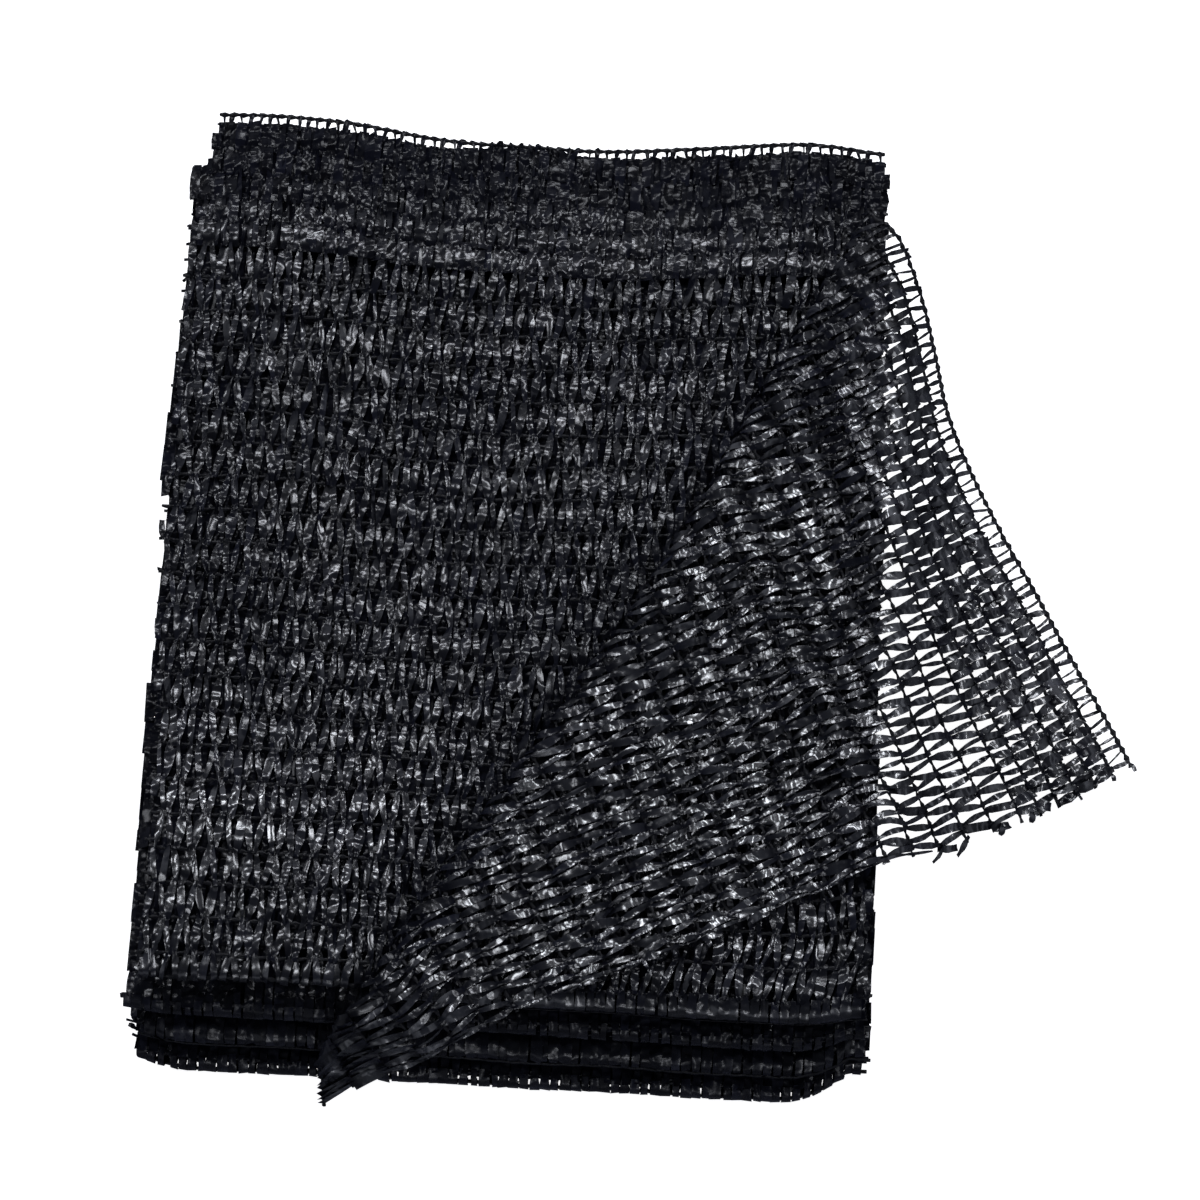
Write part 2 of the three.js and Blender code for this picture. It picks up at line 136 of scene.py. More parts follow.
def curve_by(keys, values):
    """A smooth curve through a table's rows, from one column to another."""
    keys, values = np.asarray(keys, float), np.asarray(values, float)
    if keys[0] > keys[-1]:
        keys, values = keys[::-1], values[::-1]
    after = np.minimum(np.arange(len(keys)) + 1, len(keys) - 1)
    before = np.maximum(np.arange(len(keys)) - 1, 0)
    slope = (values[after] - values[before]) / (keys[after] - keys[before])

    def read(at):
        at = np.asarray(at, float)
        i = np.clip(np.searchsorted(keys, at) - 1, 0, len(keys) - 2)
        width = keys[i + 1] - keys[i]
        t = clamp((at - keys[i]) / width)
        t2, t3 = t * t, t * t * t
        return (
            (2 * t3 - 3 * t2 + 1) * values[i]
            + (t3 - 2 * t2 + t) * width * slope[i]
            + (3 * t2 - 2 * t3) * values[i + 1]
            + (t3 - t2) * width * slope[i + 1]
        )

    return read


def plan_curve(table, steps=60):
    """A curve seen from above, read by the share of its length."""
    p = np.asarray(table, float)
    p = np.vstack([2 * p[0] - p[1], p, 2 * p[-1] - p[-2]])
    fine = []
    for a, b, c, d in zip(p, p[1:], p[2:], p[3:]):
        ab, bc, cd = (np.linalg.norm(q - r) ** 0.5 for q, r in ((b, a), (c, b), (d, c)))
        start = ((b - a) / ab - (c - a) / (ab + bc) + (c - b) / bc) * bc
        end = ((c - b) / bc - (d - b) / (bc + cd) + (d - c) / cd) * bc
        t = np.linspace(0, 1, steps, endpoint=False)[:, None]
        fine.append(
            b + start * t
            + (-3 * b + 3 * c - 2 * start - end) * t**2
            + (2 * b - 2 * c + start + end) * t**3
        )
    fine = np.vstack([*fine, p[-2][None]])
    run = np.concatenate([[0], np.cumsum(np.linalg.norm(np.diff(fine, axis=0), axis=1))])

    def read(share):
        at = clamp(share) * run[-1]
        return np.interp(at, run, fine[:, 0]), np.interp(at, run, fine[:, 1])

    return read


def layer_height(n):
    return THICKNESS / 2 + (LAYERS - n) * PITCH


TOP = layer_height(1)
BASE = layer_height(LAYERS)


def loft(x, y):
    """How far the stack is raised or pressed together at a place."""
    (high, across, phase, deep), (low, length) = LOFT_WAVE, LOFT_RIPPLE
    waves = high * np.sin(x / across + phase) * np.cos(y / deep) + low * np.sin((x + y) / length)
    height = 1 + waves
    for side, start, over, by in PRESSED_SIDES:
        height = height - fade(side * x, 0, by, start, over)
    return height


def uneven(v, a, b, shift_a, shift_b):
    """How far a cut end strays: two waves of the lengths a and b."""
    return END_UNEVEN * (np.sin(v / a + shift_a) + 0.6 * np.sin(v / b + shift_b))


def cut_left(v, y):
    return LEFT_END + LEFT_SLOPE * y + uneven(v, 57, 19, 0, 1)


def cut_right(v, y):
    return RIGHT_END + RIGHT_SLOPE * y + 0.6 * uneven(v, 63, 23, 2, 0)


def fold_reach(fold, x):
    """The y that a fold reaches, with its corners rounded back."""
    left, right, round_left, round_right = fold
    to_right = clamp((x - (RIGHT_END - CORNER_WIDTH)) / CORNER_WIDTH)
    to_left = clamp((LEFT_END + CORNER_WIDTH - x) / CORNER_WIDTH)
    back = round_right * to_right**2 + round_left * to_left**2
    straight = lerp(left, right, (x - LEFT_END) / (RIGHT_END - LEFT_END))
    return straight - np.sign(straight) * back


back_selvedge = curve_by(*zip(*BACK_SELVEDGE))
TOP_SELVEDGE = TURN[0][1]
OUTER_RADIUS = 1.5 * PITCH


def top_selvedge(x):
    return np.full(np.shape(x), float(TOP_SELVEDGE))


def layer_order():
    """The layers in the order in which the net runs through them."""
    down = [2 * i + (2 if i % 2 else 1) for i in range(LAYERS // 2)]
    up = [2 * i + (1 if i % 2 else 2) for i in range(LAYERS // 2)]
    return down + up[::-1]


def turn_between(a, b, side):
    """The half turn from layer a to layer b, at the front (side -1) or the back (side 1)."""
    radius = abs(layer_height(a) - layer_height(b)) / 2
    inset = radius if side > 0 and min(a, b) == LAYERS - 1 else OUTER_RADIUS
    fold = (FRONT_FOLDS if side < 0 else BACK_FOLDS)[math.ceil(min(a, b) / 4) - 1]
    return {
        "side": side,
        "radius": radius,
        "height": (layer_height(a) + layer_height(b)) / 2,
        "down": 1 if a < b else -1,
        "centre": lambda x: fold_reach(fold, x) - side * inset,
    }


def section_parts():
    """The section of the net: flat layers and turns, each with its start along the net."""
    order, parts, start, at = layer_order(), [], top_selvedge, 0.0
    for i, layer in enumerate(order):
        side = 1 if i % 2 else -1
        turn = turn_between(layer, order[i + 1], side) if i + 1 < len(order) else None
        end = turn["centre"] if turn else back_selvedge
        length = float(abs(end(0.0) - start(0.0)))
        parts.append({"layer": layer, "from": start, "to": end, "at": at, "length": length})
        at += length
        if turn:
            length = math.pi * turn["radius"]
            parts.append({"turn": turn, "at": at, "length": length})
            at += length
            start = turn["centre"]
    return parts


PARTS = section_parts()
STARTS = np.array([part["at"] for part in PARTS])
FRONT = PARTS[0]["length"]
NET_WIDTH = PARTS[-1]["at"] + PARTS[-1]["length"]


def section_point(v, x):
    """A point of the section, v along the net from the top layer's selvedge."""
    v, x = np.broadcast_arrays(np.asarray(v, float), np.asarray(x, float))
    y, z = np.zeros(v.shape), np.zeros(v.shape)
    which = np.clip(np.searchsorted(STARTS, v) - 1, 0, len(PARTS) - 1)
    for n in np.unique(which):
        part, here = PARTS[n], which == n
        share = clamp((v[here] - part["at"]) / part["length"])
        turn = part.get("turn")
        if turn:
            radius, angle = turn["radius"], math.pi * share
            y[here] = turn["centre"](x[here]) + turn["side"] * radius * np.sin(angle)
            z[here] = turn["height"] + turn["down"] * radius * np.cos(angle)
        else:
            y[here] = lerp(part["from"](x[here]), part["to"](x[here]), share)
            z[here] = layer_height(part["layer"])
    return points(x, y, BASE + (z - BASE) * loft(x, y))


turn_x = curve_by([t[1] for t in TURN], [t[0] for t in TURN])
turn_roll = curve_by([t[1] for t in TURN], [t[2] for t in TURN])
side_drop = curve_by(*zip(*SIDE_DRAPE))
front_drop = curve_by(*zip(*FRONT_DRAPE))
flap_selvedge = plan_curve(FLAP_SELVEDGE)
flap_cut = plan_curve(FLAP_CUT)


def flap_height(x, y):
    """The turned-back sheet's height at a place where it has settled."""
    edge = RIGHT_END + RIGHT_SLOPE * y + SIDE_START
    top = BASE + (TOP - BASE) * loft(np.minimum(x, edge), y) + PITCH
    side = np.where(x > edge, side_drop(x - edge), 0)
    front = np.where(y < FRONT_START, front_drop(FRONT_START - y), 0)
    return top - side * (top / (TOP + PITCH)) - front


def flap_normal(x, y, step=0.5):
    dx = (flap_height(x + step, y) - flap_height(x - step, y)) / (2 * step)
    dy = (flap_height(x, y + step) - flap_height(x, y - step)) / (2 * step)
    return unit(points(-dx, -dy, 1.0))


def tongue_table(steps=24):
    """How far along the net the turn runs from the front edge to its tip, by y."""
    y = np.linspace(TOP_SELVEDGE - FRONT, TURN[-1][1], steps + 1)
    z = flap_height(turn_x(y), y)
    return FRONT + np.concatenate([[0], np.cumsum(np.hypot(np.diff(y), np.diff(z)))]), y


TONGUE = tongue_table()
TIP = float(TONGUE[0][-1])
tongue_y = curve_by(*TONGUE)


def roll_at(v):
    """The roll of the turn at v: its radius, the frame it turns in and its lowest point."""
    y = np.where(v <= FRONT, TOP_SELVEDGE - v, tongue_y(v))
    x = turn_x(y)
    radius = turn_roll(y)[..., None]
    out = flap_normal(x, y)
    ahead, behind = (points(turn_x(w), w, flap_height(turn_x(w), w)) for w in (y + 1, y - 1))
    along = unit(ahead - behind)
    outward = unit(np.cross(out, along))
    low = points(x, y, flap_height(x, y)) - PITCH * out - radius * outward
    return radius, out, along, outward, low


def roll_point(v, share):
    radius, out, along, outward, low = roll_at(v)
    angle = math.pi * np.asarray(share, float)[..., None]
    return (
        low
        + outward * radius * np.sin(angle)
        + out * radius * (1 - np.cos(angle))
        - along * ROLL_SLIP * radius * angle
    )


def flap_point(v, share):
    """A point of the turned-back corner, at a share of the way from the roll to the cut end."""
    v, share = np.broadcast_arrays(np.asarray(v, float), np.asarray(share, float))
    start = roll_point(v, np.ones(v.shape))
    end_x, end_y = flap_cut(v / TIP)
    edge_x, edge_y = flap_selvedge(share)
    first = roll_point(np.zeros(1), np.ones(1))[0]
    corner_x, corner_y = flap_cut(0.0)
    bow = (1 - clamp(v / BOW_WIDTH)) ** 1.5 * np.sin(math.pi * clamp(share)) ** 0.5
    x = lerp(start[..., 0], end_x, share) + bow * (edge_x - lerp(first[0], corner_x, share))
    y = lerp(start[..., 1], end_y, share) + bow * (edge_y - lerp(first[1], corner_y, share))
    raised = start[..., 2] - flap_height(start[..., 0], start[..., 1])
    travelled = np.hypot(x - start[..., 0], y - start[..., 1])
    return points(x, y, flap_height(x, y) + raised * (1 - smooth(travelled / SETTLE)))


def left_cut_x(v):
    """The left cut end: drawn in at the back of the second layer, slanted under the turn."""
    y = section_point(v, LEFT_END)[..., 1]
    plain = cut_left(v, y)
    drawn_in = plain + fade(y, *SECOND_LAYER_INSET)
    slanted = lerp(SLANT_X, plain, smooth((v - FRONT) / SLANT_LENGTH))
    return np.where(v > PARTS[-1]["at"], drawn_in, slanted)


# -------- the net as one surface
# A place on the net is (v, c): v along the net from the top layer's selvedge, across the rows,
# and c along the rows of the knit, from the right cut end towards the left.
C_FIRST, C_LAST, C_STEP, V_STEP = -24.0, 176.0, 1.0, 0.7


class Surface:
    """Points of the net on an even grid of (v, c), and the places c where each row is cut."""

    def __init__(self, v_first, grid, first, last, roll_start=None):
        self.v_first, self.grid, self.first, self.last = v_first, grid, first, last
        self.roll_start = roll_start

    def at(self, v, c):
        v, c = np.broadcast_arrays(np.asarray(v, float), np.asarray(c, float))
        row = np.clip((v - self.v_first) / V_STEP, 0, self.grid.shape[0] - 1.001)
        column = np.clip((c - C_FIRST) / C_STEP, 0, self.grid.shape[1] - 1.001)
        i, j = row.astype(int), column.astype(int)
        a, b = (row - i)[..., None], (column - j)[..., None]
        near = self.grid[i, j] * (1 - b) + self.grid[i, j + 1] * b
        far = self.grid[i + 1, j] * (1 - b) + self.grid[i + 1, j + 1] * b
        return near * (1 - a) + far * a

    def normal(self, v, c):
        along = self.at(v, c + 1.0) - self.at(v, c - 1.0)
        across = self.at(v + 0.5, c) - self.at(v - 0.5, c)
        return unit(np.cross(along, across))

    def read(self, v, places):
        """The place c at v, from a list that has one for each row of the grid."""
        row = (np.asarray(v, float) - self.v_first) / V_STEP
        return np.interp(row, np.arange(len(places)), places)

    def ends(self, v):
        return self.read(v, self.first), self.read(v, self.last)


def c_of_x(x):
    return RIGHT_END - x


def plain_surface():
    """All the layers from the first front fold on."""
    v = np.arange(FRONT - 12, NET_WIDTH + 2 * V_STEP, V_STEP)
    c = np.arange(C_FIRST, C_LAST, C_STEP)
    grid = section_point(v[:, None], (RIGHT_END - c)[None, :])
    right = cut_right(v, section_point(v, RIGHT_END)[..., 1])
    return Surface(v[0], grid, c_of_x(right), c_of_x(left_cut_x(v)))


def turned_surface():
    """The top layer under the turn, the roll and the turned-back corner, out to its tip."""
    v = np.arange(-2 * V_STEP, TIP + 3 * V_STEP, V_STEP)
    held = np.clip(v, 0, TIP)
    layer_v = np.minimum(held, FRONT)
    low = roll_at(held)[4]
    right = cut_right(layer_v, section_point(layer_v, RIGHT_END)[..., 1])
    share = np.linspace(0, 1, UNDER_STEPS)
    x = lerp(right[:, None], low[:, 0][:, None], share[None, :])
    under = section_point(layer_v[:, None], x)
    pull = (share**ROLL_PULL)[None, :, None]
    under = under * (1 - pull) + low[:, None, :] * pull
    rolled = np.linspace(0, 1, ROLL_STEPS)[None, :]
    over = roll_point(*np.broadcast_arrays(held[:, None], rolled))
    flap = flap_point(held[:, None], np.linspace(0, 1, FLAP_STEPS)[None, :])
    rows = np.concatenate([under, over[:, 1:], flap[:, 1:]], axis=1)
    steps = np.linalg.norm(np.diff(rows, axis=1), axis=2)
    run = np.concatenate([np.zeros((len(rows), 1)), np.cumsum(steps, axis=1)], axis=1)
    at_front = int(np.searchsorted(v, FRONT))
    end = run[at_front, -1] + c_of_x(right[at_front])
    c = np.arange(C_FIRST, C_LAST, C_STEP)
    first = end - run[:, -1]
    roll_start = end - (run[:, -1] - run[:, len(share) - 1])
    grid = np.empty((len(v), len(c), 3))
    for n in range(len(v)):
        for axis in range(3):
            grid[n, :, axis] = np.interp(c - first[n], run[n], rows[n, :, axis])
        over_end = c > end
        step = unit(rows[n, -1] - rows[n, -4])
        grid[n, over_end] = rows[n, -1] + step * (c[over_end] - end)[:, None]
    return Surface(v[0], grid, first, np.full(len(v), end), roll_start)


TURNED = turned_surface()
PLAIN = plain_surface()
FLAP_END = float(TURNED.last[0])


def wale_places():
    """Where the chains run: a band of narrow gaps at each selvedge, and even gaps between."""
    band = SELVEDGE_WALE * SELVEDGE_WALES
    edge = SELVEDGE_WALE * np.arange(SELVEDGE_WALES)
    count = round((NET_WIDTH - 2 * band) / WALE)
    body = np.linspace(band, NET_WIDTH - band, count + 1)
    return np.concatenate([edge, body, NET_WIDTH - edge[::-1]])


WALES = wale_places()
GAPS = len(WALES) - 1
DRIFT = [(2.3, 83.0, 0.3), (1.7, 211.0, 1.0), (0.5, 31.0, 0.0)]  # height, length, phase


def drift(v):
    """How far the knit has slipped along its rows, so that no two layers lie in register."""
    return sum(height * np.sin(v / length + phase) for height, length, phase in DRIFT)


def wobble(v, c, salt, long=37.0, short=11.0):
    """A slow waver from about -1 to 1: three waves that never come round together. salt picks
    another waver."""
    return (
        0.55 * np.sin(c / long * 2 * math.pi + 1.7 * np.sin(v / 53.0 + salt) + salt)
        + 0.30 * np.sin(c / short + v / 17.0 + 2.1 * salt)
        + 0.25 * np.sin(v / 9.1 - c / 23.0 + 0.7 * salt)
    )


# -------- how the layers lie and shine
# Seen from above: a soft valley pressed into the turned-back corner, low ridges on the layer
# beside the turn, and patches of painted highlight, where the film's coat is painted to shine
# more (x, y, half widths and how much more).
CREASE = [(-8, 62), (21, 56), (40, 51.5), (62, 48), (88, 57)]  # y, x
# The valley's width and real depth, and how much painted shade lies along it.
CREASE_WIDTH, CREASE_DEPTH, CREASE_SHADE = 4.2, 0.9, 0.9
RIDGES = [((22, 96), (33, 72)), ((31, 98), (40, 78)), ((-62, 12), (-20, 40))]
RIDGE_WIDTH, RIDGE_HEIGHT = 2.4, 0.7
# Patches of painted highlight.
PAINTED_HIGHLIGHTS = [
    (-32, 23, 14, 8, 0.7), (-78, -64, 20, 10, 1.0), (-52, 59, 44, 7, 0.35), (41, -92, 14, 14, 0.9),
    (-50, -70, 26, 12, 0.5), (70, 0, 12, 40, 0.5), (20, -60, 30, 14, 0.4),
]

# Fades, for the crease and for the painted shade and highlight: the least, how much more, from
# where, and over what way.
CREASE_FRONT, CREASE_BACK = (0, 1, -14, 16), (0, 1, -94, 12)  # y, -y
# Past the roll: where the crease and its painted shade begin, and the painted highlight on the
# turned-back corner.
CORNER_STARTS, CORNER_PAINTED_HIGHLIGHT = (0, 1, 8, 6), (1, 1.25, 4, 6)  # past the start of the roll
# Painted shade on the back of the turned-back corner and on the back band of the second layer.
CORNER_BACK_PAINTED_SHADE, PANEL_BACK_PAINTED_SHADE = (1, -0.35, 50, 20), (1, -0.85, 84, 18)  # y
# Painted highlight towards the front of the second layer.
PANEL_FRONT_PAINTED_HIGHLIGHT = (1, 0.5, -10, 60)  # -y
# The painted shadow of the turn, on the turned-back corner and on the layer beside it.
TURN_SHADE, BESIDE_TURN_SHADE = (0.3, 0.64, -112, 18), (0.4, 0.58, -70, 50)  # y, -y
# Painted shade on the layers inside the stack, and painted highlight on its top.
STACK_PAINTED_SHADE_AND_HIGHLIGHT = (0.45, 1.1, -4, 3)  # above the middle of the top layer
# Where the painted shadow of the turn lies and how wide it is.
TURN_SHADE_AT, TURN_SHADE_WIDTH, BESIDE_TURN_WIDTH = 3.0, 4.8, 6.0
# A random waver in the painted highlight, and the least that is left.
SHINE_WAVER, LEAST_SHINE = 0.22, 0.03

# The back selvedge is drawn forward in a soft gather, most of all at one place along the rows.
GATHER = {"reach": 6.0, "at": 90, "width": 16, "more": 0.55}
ROW_WAVER = 0.35
UPWARDS = 4  # how soon an offset keeps its full height as the net turns away from level


def near_line(p, line, width):
    a, b = np.asarray(line[0], float), np.asarray(line[1], float)
    share = clamp(((p[..., :2] - a) @ (b - a)) / ((b - a) @ (b - a)))
    nearest = a + share[..., None] * (b - a)
    return bell(np.linalg.norm(p[..., :2] - nearest, axis=-1), width)


crease_x = curve_by(*zip(*CREASE))


def crease_band(p):
    """Where the valley in the turned-back corner runs: 1 along it and 0 away from it."""
    x, y = p[..., 0], p[..., 1]
    inside = fade(y, *CREASE_FRONT) * fade(-y, *CREASE_BACK)
    return inside * bell(x - crease_x(np.clip(y, CREASE[0][0], CREASE[-1][0])), CREASE_WIDTH)


def past_roll(v, c):
    """How far past the start of the roll a place on the turned-back layer lies."""
    return c - TURNED.read(v, TURNED.roll_start)


class Place:
    """A stretch of the net, knitted as one piece. It wavers up and down by lift, and squeeze is
    how far its back selvedge is drawn forward. In a pressed stretch the tapes inside the stack
    and round its outer folds lie side by side."""

    def __init__(self, surface, lift, squeeze=0.0, pressed=False):
        self.surface, self.lift, self.squeeze, self.pressed = surface, lift, squeeze, pressed

    def frame(self, v, c, offset=0.0):
        """Points on the net at an offset upwards, with the direction out of the net."""
        v = v + ROW_WAVER * wobble(v, c, 0.4)
        from_edge = np.maximum(NET_WIDTH - v, 0)
        gathered = self.squeeze * (1 + GATHER["more"] * bell(c - GATHER["at"], GATHER["width"]))
        reach = from_edge / GATHER["reach"]
        v = v + gathered * reach * np.exp(1 - reach)
        normal = self.surface.normal(v, c)
        rise = offset * np.tanh(UPWARDS * normal[..., 2]) + self.lift * wobble(v, c, 2.2)
        p = self.surface.at(v, c) + normal * np.asarray(rise)[..., None]
        if self.surface is TURNED:
            p[..., 2] -= CREASE_DEPTH * crease_band(p) * fade(past_roll(v, c), *CORNER_STARTS)
        elif self.squeeze:
            p[..., 2] += RIDGE_HEIGHT * sum(near_line(p, line, RIDGE_WIDTH) for line in RIDGES)
        return p, normal

    def painted_sheen(self, v, c, p):
        """The painted highlight and shade on the film's coat at a place: painted shadow of the
        turn, painted shade in the crease, and painted highlights in listed patches.
        """
        x, y, z = p[..., 0], p[..., 1], p[..., 2]
        shine = 1.0 + SHINE_WAVER * wobble(v, c, 1.3, long=61.0, short=19.0)
        # Patches of painted highlight.
        for cx, cy, rx, ry, gain in PAINTED_HIGHLIGHTS:
            shine = shine + gain * np.exp(-(((x - cx) / rx) ** 2) - ((y - cy) / ry) ** 2)
        if self.surface is TURNED:
            # On the turned-back corner: painted highlight past the roll, painted shadow where it
            # turns, painted shade in the crease and towards its back.
            past = past_roll(v, c)
            shade = fade(y, *TURN_SHADE) * bell(past - TURN_SHADE_AT, TURN_SHADE_WIDTH)
            shine = shine * fade(past, *CORNER_PAINTED_HIGHLIGHT) * (1 - shade)
            shine = shine * (1 - CREASE_SHADE * crease_band(p) * fade(past, *CORNER_STARTS))
            shine = shine * fade(y, *CORNER_BACK_PAINTED_SHADE)
        elif self.squeeze:
            # On the second layer: painted shadow beside the turn, painted highlight towards the
            # front, painted shade on the back band.
            beside = np.maximum(turn_x(np.clip(y, TURN[-1][1], TURN[0][1])) - x, 0)
            shade = fade(-y, *BESIDE_TURN_SHADE) * bell(beside, BESIDE_TURN_WIDTH)
            shine = shine * fade(-y, *PANEL_FRONT_PAINTED_HIGHLIGHT) * (1 - shade)
            shine = shine * fade(y, *PANEL_BACK_PAINTED_SHADE)
        else:
            # On the folded layers: painted shade inside the stack, painted highlight on its top.
            shine = shine * fade(z - TOP, *STACK_PAINTED_SHADE_AND_HIGHLIGHT)
        return np.maximum(shine, LEAST_SHINE)


# -------- tapes and chains
# For each kind of gap: the widths of its tapes, how far from their turn round the chain they
# lie and how unevenly, and the share of their width that is left there.
TAPE = {
    "ladder": (0.75, 1.25), "dense": (2.3, 2.3), "closed": (2.5, 2.5, 2.5), "body": (1.5, 1.95),
    "filled": (2.35, 2.35),
}
BEND = {"ladder": (0.8, 0.3), "dense": (0.85, 0.15), "closed": (0, 0), "body": (0.55, 0.25)}
PINCH = {"ladder": (0.5, 0.8), "dense": (0.6, 0.85), "closed": (0.92, 1.0), "body": (0.4, 0.75)}
WAYS = (1, -1, 0)  # a leg to the next chain, a leg back, and one straight across
BEND_LIMITS = (0.15, 1.6)
OVERSHOOT = 0.75  # how far a tape passes over the chain that holds it
OVERSHOOT_RANGE = (0.4, 1.2)
CLOSED_UNEVEN, CLOSED_SWAY = 0.08, 0.2
TAUT = {"tilt": 0.35, "twist": 0.35, "bulge": 0.2, "crown": 0.4}
TAUT_PINCH = 0.8
CUT_SHARE = 0.55  # of a leg that is left where the net is cut across it
CUT_PINCH = 0.85

# How tapes differ: middle and spread of each measure (mm, degrees or shares), and its limits.
WIDTH, TILT, TWIST, BULGE = (1.0, 0.16), (0, 13), (0, 16), (0.3, 0.35)
REST, SWAY, CROWN = (0.3, 0.15), (0, 0.22), (0.08, 0.14)
WIDTH_LIMITS, BULGE_LIMITS, CROWN_LIMITS = (0.6, 1.4), (-0.5, 1.0), (-0.3, 0.45)
EASE_RANGE, FREE_PINCH, PINCH_CURVE = (0.15, 0.45), 0.55, 0.7

# How the painted highlight swells from painted shade at the chain to the middle of a tape: least,
# how much more, how sharply.
DASH_CORNER, DASH = (0.06, 1.4, 2.4), (0.14, 1.15, 1.8)
# How unevenly each tape's painted highlight is laid, and the even value that the chains carry.
TAPE_SHINE, CHAIN_SHINE = (0.7, 1.3), 0.5
UV_PER_METRE, UV_SPREAD = 100, (97.0, 53.0)  # each tape takes a place of its own in the UVs

CHAIN_RADIUS, EDGE_CHAIN_RADIUS, SHORTEST_CHAIN = 0.42, 0.55, 2
CHAIN_OFFSET, CHAIN_SNAKE, CHAIN_BEAD, CHAIN_FLATNESS, CHAIN_TAIL = -0.25, 0.16, 0.5, 0.8, 0.8
TIP_LENGTH = 24.0  # the drawn-in end of the turn, where the tapes lie close together
FRAY_WIDTH, FRAY_TURN, FRAY_START, FRAY_BULGE = 1.1, 0.6, 0.4, 0.5
FRAY_RANGE, FRAY_PINCH = (0.3, 1.25), (0.4, 0.8)
TAPE_SLOT, CHAIN_SLOT = 0, 1


class Mesh:
    """Gathers vertices, faces, UVs and the painted highlight and shade at each vertex, then makes
    one object.
    """

    def __init__(self):
        self.vertices, self.faces, self.uvs, self.painted_sheen, self.finish = [], [], [], [], []
        self.count = 0

    def grid(self, p, uv, painted_sheen, finish=TAPE_SLOT):
        """Strips of quads: p is (strips, along, across, 3), uv the same with 2, sheen
        (strips, along)."""
        strips, along, across = p.shape[:3]
        if not strips:
            return
        ids = self.count + np.arange(strips * along * across).reshape(strips, along, across)
        corners = [ids[:, :-1, :-1], ids[:, 1:, :-1], ids[:, 1:, 1:], ids[:, :-1, 1:]]
        quads = np.stack(corners, axis=-1)
        self.vertices.append(p.reshape(-1, 3))
        self.faces.append(quads.reshape(-1, 4))
        self.uvs.append(uv.reshape(-1, 2))
        self.painted_sheen.append(np.repeat(painted_sheen.ravel(), across))
        self.finish.append(np.full(quads.size // 4, finish))
        self.count += strips * along * across

    def take(self, other):
        """Adds all that another mesh has gathered."""
        other.faces = [faces + self.count for faces in other.faces]
        for part in ("vertices", "faces", "uvs", "painted_sheen", "finish"):
            getattr(self, part).extend(getattr(other, part))
        self.count += other.count

    def make(self, name):
        vertices = (np.vstack(self.vertices) - NET_CENTRE) * MM
        faces = np.vstack(self.faces)
        mesh = bpy.data.meshes.new(name)
        mesh.vertices.add(len(vertices))
        mesh.vertices.foreach_set("co", vertices.astype(np.float32).ravel())
        mesh.loops.add(faces.size)
        mesh.loops.foreach_set("vertex_index", faces.ravel().astype(np.int32))
        mesh.polygons.add(len(faces))
        mesh.polygons.foreach_set("loop_start", np.arange(0, faces.size, 4, dtype=np.int32))
        slots = np.concatenate(self.finish).astype(np.int32)
        mesh.polygons.foreach_set("material_index", slots)
        mesh.update(calc_edges=True)
        uv = mesh.uv_layers.new(name="tape_uv")
        corner_uvs = np.vstack(self.uvs)[faces.ravel()]
        uv.data.foreach_set("uv", corner_uvs.astype(np.float32).ravel())
        # A per-vertex value of painted highlight and painted shade, which sets how strongly the
        # tapes' glossy coat reflects.
        painted_sheen = mesh.attributes.new("painted_sheen", "FLOAT", "POINT")
        painted_sheen.data.foreach_set("value", np.concatenate(self.painted_sheen).astype(np.float32))
        mesh.polygons.foreach_set("use_smooth", np.ones(len(faces), bool))
        mesh.validate()
        piece = bpy.data.objects.new(name, mesh)
        bpy.context.scene.collection.objects.link(piece)
        return piece


